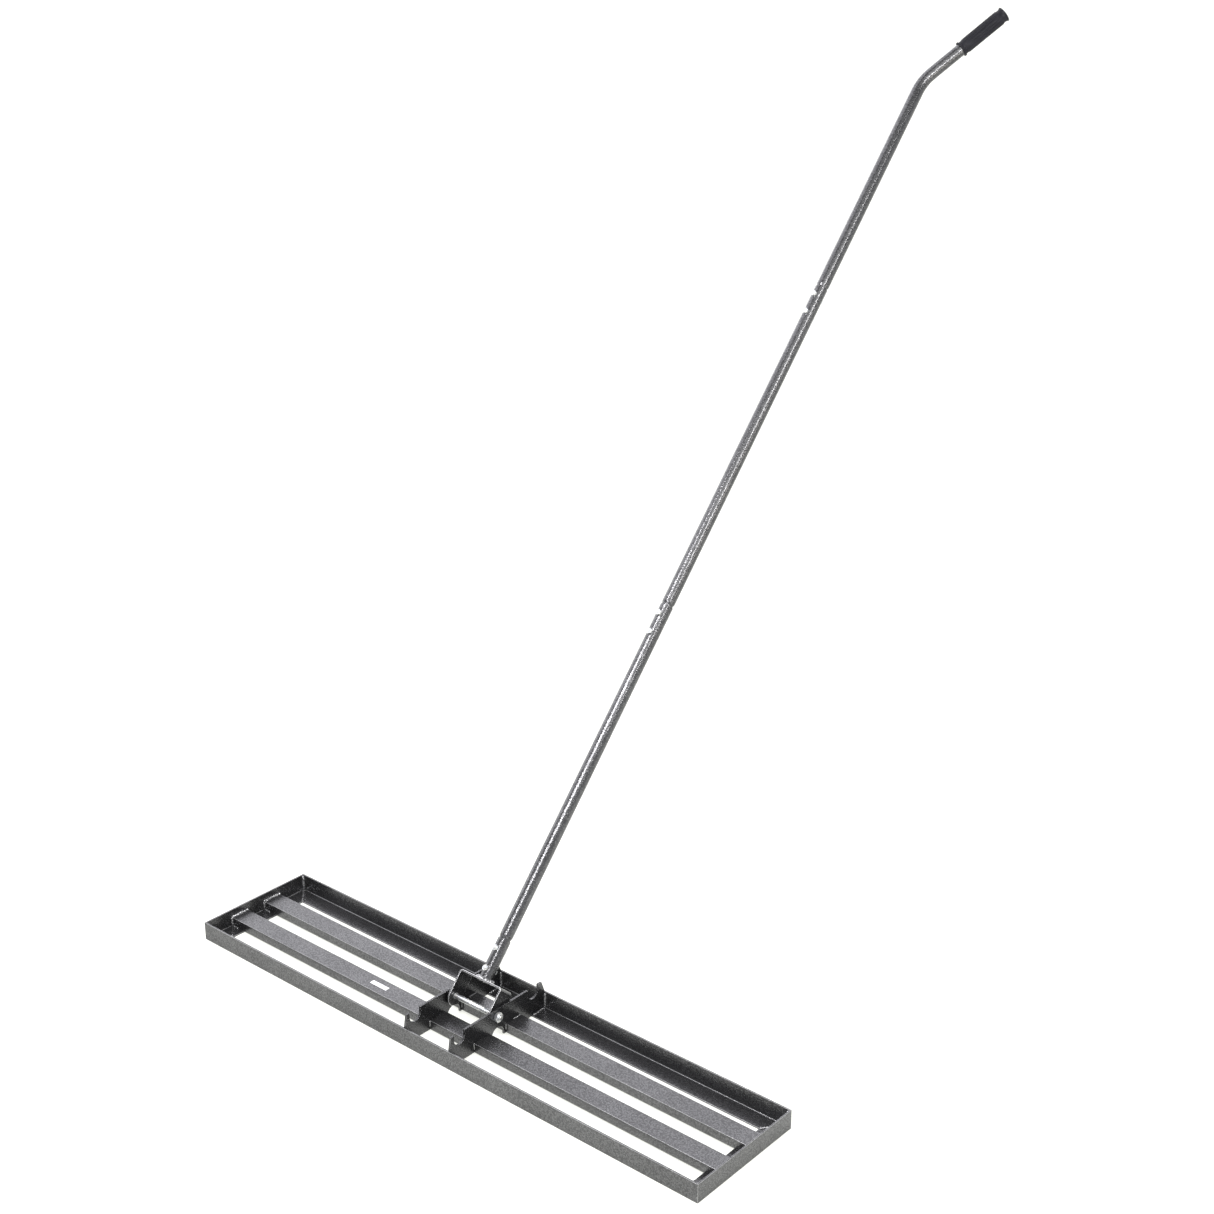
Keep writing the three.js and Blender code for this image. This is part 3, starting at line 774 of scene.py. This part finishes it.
def bead(bm, points, radius, seed):
    """A weld bead along a row of points: overlapping ripples, uneven width, rounded ends."""
    lengths = [0.0]
    for first, second in zip(points, points[1:]):
        lengths.append(lengths[-1] + (second - first).length)
    total = lengths[-1]
    count = max(6, round(total / RIPPLE * RIPPLE_STEPS))
    rings = []
    for step in range(count + 1):
        along = total * step / count
        index = max(i for i, length in enumerate(lengths[:-1]) if length <= along + 1e-9)
        run = points[index + 1] - points[index]
        direction = run.normalized()
        centre = points[index] + direction * (along - lengths[index])
        across = direction.orthogonal().normalized()
        over = direction.cross(across)
        edge = min(along, total - along) / radius
        ends = math.sqrt(max(0.04, 1 - max(0.0, 1 - edge) ** 2))
        radii = []
        for side in range(BEAD_SIDES):
            turn = 2 * math.pi * side / BEAD_SIDES
            spot = centre + (across * math.cos(turn) + over * math.sin(turn)) * radius
            phase = (along / RIPPLE + 0.35 * math.cos(turn + seed)) % 1
            lump = noise.noise(spot / LUMP_SIZE + Vector((seed, 0, 0)))
            scale = 1 + RIPPLE_HEIGHT * (1 - phase) + LUMP_HEIGHT * lump
            radii.append(radius * ends * scale)
        rings.append(ring(centre, across, over, radii))
    skin_rings(bm, rings)


def weld_group(name, body, beads):
    """One piece holding several beads, given as (points, radius)."""
    bm = bmesh.new()
    for index, (points, radius) in enumerate(beads):
        bead(bm, points, radius, seed=7.3 * index + len(name))
    mesh = finish_mesh(bm, name, BEAD_ANGLE)
    # The beads stand in the frame paint's slot but take its lighter copy, a painted highlight.
    add_piece(name, mesh, "hammertone_paint", body, material="highlit_weld_paint")


def weld_frame_corners(ends, sides, out_x, toe_x, top):
    """At each corner of the frame: up the inner corner, up the outer seam, along the mitre of
    the flanges and round its toe."""
    in_x = out_x - STEEL
    for end, (out_y, in_y, toe_y) in ends.items():
        inset_y = math.copysign(1 * MM, in_y - out_y)
        for side, sign in sides.items():
            inner_foot = Vector((sign * (in_x - 1 * MM), in_y + inset_y, STEEL))
            inner_head = Vector((inner_foot.x, inner_foot.y, top - 1.5 * MM))
            outer_foot = Vector((sign * (out_x - STEEL / 2), (out_y + in_y) / 2, 2 * MM))
            outer_head = outer_foot + Vector((0, 0, top - 4 * MM))
            toe = Vector((sign * toe_x, toe_y, STEEL + 0.2 * MM))
            toe_start = toe + Vector((sign * 4 * MM, (in_y - toe_y) / 10, 0))
            beads = [
                ([inner_foot, inner_head], WEB_WELD),
                ([outer_foot, outer_head], OUTER_WELD),
                ([inner_foot, toe], SEAM_WELD),
                ([toe_start, toe], TOE_WELD),
            ]
            weld_group(f"corner_welds_{end}_{side}", FRAME_BODY, beads)


def weld_slat_ends(sides, in_x):
    """At each end of a slat: across its top, up its leg and along the foot of the leg."""
    for slat in ("front_slat", "rear_slat"):
        low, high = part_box(slat)
        for side, sign in sides.items():
            x = sign * (in_x - 1.8 * MM)
            leg_foot = Vector((x, low.y, STEEL))
            top_start = Vector((x, low.y - 2 * MM, high.z))
            top_end = Vector((x, high.y + 2 * MM, high.z))
            beads = [
                ([top_start, top_end], 2.8 * MM),
                ([leg_foot, Vector((x, low.y, high.z))], WEB_WELD),
                ([leg_foot, leg_foot - Vector((sign * 16 * MM, 0, 0))], 2.0 * MM),
            ]
            weld_group(f"{slat}_welds_{side}", FRAME_BODY, beads)


def weld_hook_plates(ends, sides, top):
    """Both faces of each hook plate: up the bars' webs, along their flanges, up the slats'
    legs and over the rear slat's top."""
    for side in sides:
        low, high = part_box(f"{side}_hook_plate")
        beads = []
        for x in (low.x, high.x):
            for out_y, in_y, toe_y in ends.values():
                web_y = in_y + math.copysign(0.9 * MM, in_y - out_y)
                foot = Vector((x, web_y, STEEL + 0.5 * MM))
                flange_end = Vector((x, in_y + (toe_y - in_y) * 0.95, foot.z))
                beads.append(([foot, Vector((x, web_y, top - 2 * MM))], PLATE_WELD))
                beads.append(([foot, flange_end], 1.8 * MM))
            for slat in ("front_slat", "rear_slat"):
                slat_low, slat_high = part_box(slat)
                leg_foot = Vector((x, slat_low.y, slat_low.z + 6 * MM))
                beads.append(([leg_foot, Vector((x, slat_low.y, slat_high.z))], FINE_WELD))
            rear_edge = Vector((x, slat_high.y, slat_high.z))
            slat_middle = Vector((x, (slat_low.y + slat_high.y) / 2, slat_high.z))
            beads.append(([rear_edge, slat_middle], 1.3 * MM))
        weld_group(f"{side}_hook_plate_welds", FRAME_BODY, beads)


def build_welds():
    frame_low, frame_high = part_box("front_bar")[0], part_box("rear_bar")[1]
    sides = {"left": -1, "right": 1}
    ends = {
        "front": (frame_low.y, frame_low.y + STEEL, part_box("front_bar")[1].y),
        "rear": (frame_high.y, frame_high.y - STEEL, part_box("rear_bar")[0].y),
    }
    toe_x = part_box("right_end_bar")[0].x
    weld_frame_corners(ends, sides, frame_high.x, toe_x, frame_high.z)
    weld_slat_ends(sides, frame_high.x - STEEL)
    weld_hook_plates(ends, sides, frame_high.z)
    foot = PIVOT + HANDLE_AXIS * reach_along("socket_tube", PIVOT, HANDLE_AXIS)[0]
    radii = [TUBE_RADIUS + 1.2 * MM] * SOCKET_WELD_POINTS
    loop = ring(foot, SIDEWAYS, HANDLE_UNDER, radii)
    weld_group("socket_weld", HANDLE_BODY, [(loop + loop[:2], SOCKET_WELD)])


# ---- Stage -------------------------------------------------------------------------------

FLOOR_REACH = 60.0


def build_stage():
    bm = bmesh.new()
    low = cad_box[0].z
    corners = [(-1, -1), (1, -1), (1, 1), (-1, 1)]
    bm.faces.new([bm.verts.new((x * FLOOR_REACH, y * FLOOR_REACH, low)) for x, y in corners])
    mesh = bpy.data.meshes.new("studio_floor")
    bm.to_mesh(mesh)
    bm.free()
    mesh.materials.append(floor_paint())
    floor = bpy.data.objects.new("studio_floor", mesh)
    bpy.context.scene.collection.objects.link(floor)

    def add_sun(name, towards, strength, spread, colour):
        data = bpy.data.lights.new(name, "SUN")
        data.energy = strength
        data.angle = math.radians(spread)
        data.color = colour
        lamp = bpy.data.objects.new(name, data)
        bpy.context.scene.collection.objects.link(lamp)
        lamp.rotation_mode = "QUATERNION"
        lamp.rotation_quaternion = Vector(towards).to_track_quat("Z", "Y")

    def add_panel(name, place, aim, along, size, power, colour):
        """A soft panel facing `aim`, its long side turned towards the direction `along`."""
        data = bpy.data.lights.new(name, "AREA")
        data.shape = "RECTANGLE"
        data.size, data.size_y = size
        data.energy = power
        data.color = colour
        lamp = bpy.data.objects.new(name, data)
        bpy.context.scene.collection.objects.link(lamp)
        away = (Vector(place) - Vector(aim)).normalized()
        short = away.cross(Vector(along)).normalized()
        turn = Matrix((short.cross(away), short, away)).transposed().to_4x4()
        lamp.matrix_world = Matrix.Translation(place) @ turn

    add_sun("side_dome", (-0.72, 0.32, 0.62), 3.3, 100, (0.97, 0.96, 1.0))
    add_panel(
        "key_softbox",
        place=(0.1, -1.09, 2.28),
        aim=(0, 0.6, 0.6),
        along=(-1.7, 1.03, 0.87),
        size=(2.0, 0.35),
        power=70,
        colour=(1.0, 0.99, 1.0),
    )
    add_panel(
        "right_strip",
        place=(1.68, 0.46, 2.18),
        aim=(0, 0.98, 0.92),
        along=(0, 0.81, 0.58),
        size=(1.5, 0.25),
        power=25,
        colour=(1.0, 0.99, 0.97),
    )
    add_panel(
        "warm_side_strip",
        place=(2.1, 1.2, 1.4),
        aim=(0.1, 1.55, 1.7),
        along=(0, 0.81, 0.58),
        size=(0.8, 0.25),
        power=4.6,
        colour=(1.0, 0.93, 0.84),
    )
    add_panel(
        "overhead_fill",
        place=(1.3, -0.4, 2.9),
        aim=(0, 0.9, 0.8),
        along=(1, 0, 0),
        size=(2.4, 2.4),
        power=26,
        colour=(1.0, 1.0, 1.0),
    )
    world = bpy.data.worlds.new("studio")
    bpy.context.scene.world = world
    world.use_nodes = True
    tree = world.node_tree
    background = tree.nodes["Background"]
    background.inputs["Color"].default_value = (0.97, 0.98, 1.0, 1)
    direction = add_node(tree, "ShaderNodeTexCoord").outputs["Generated"]
    upward = add_node(tree, "ShaderNodeSeparateXYZ", {"Vector": direction}).outputs["Z"]
    glow = remap(tree, upward, 0.2, 0.5, 1.04, 0.3)
    tree.links.new(glow, background.inputs["Strength"])
    bpy.context.scene.view_settings.view_transform = "Standard"


add_camera()
build_steelwork()
build_tubes()
build_fasteners()
build_grip()
build_welds()
build_stage()
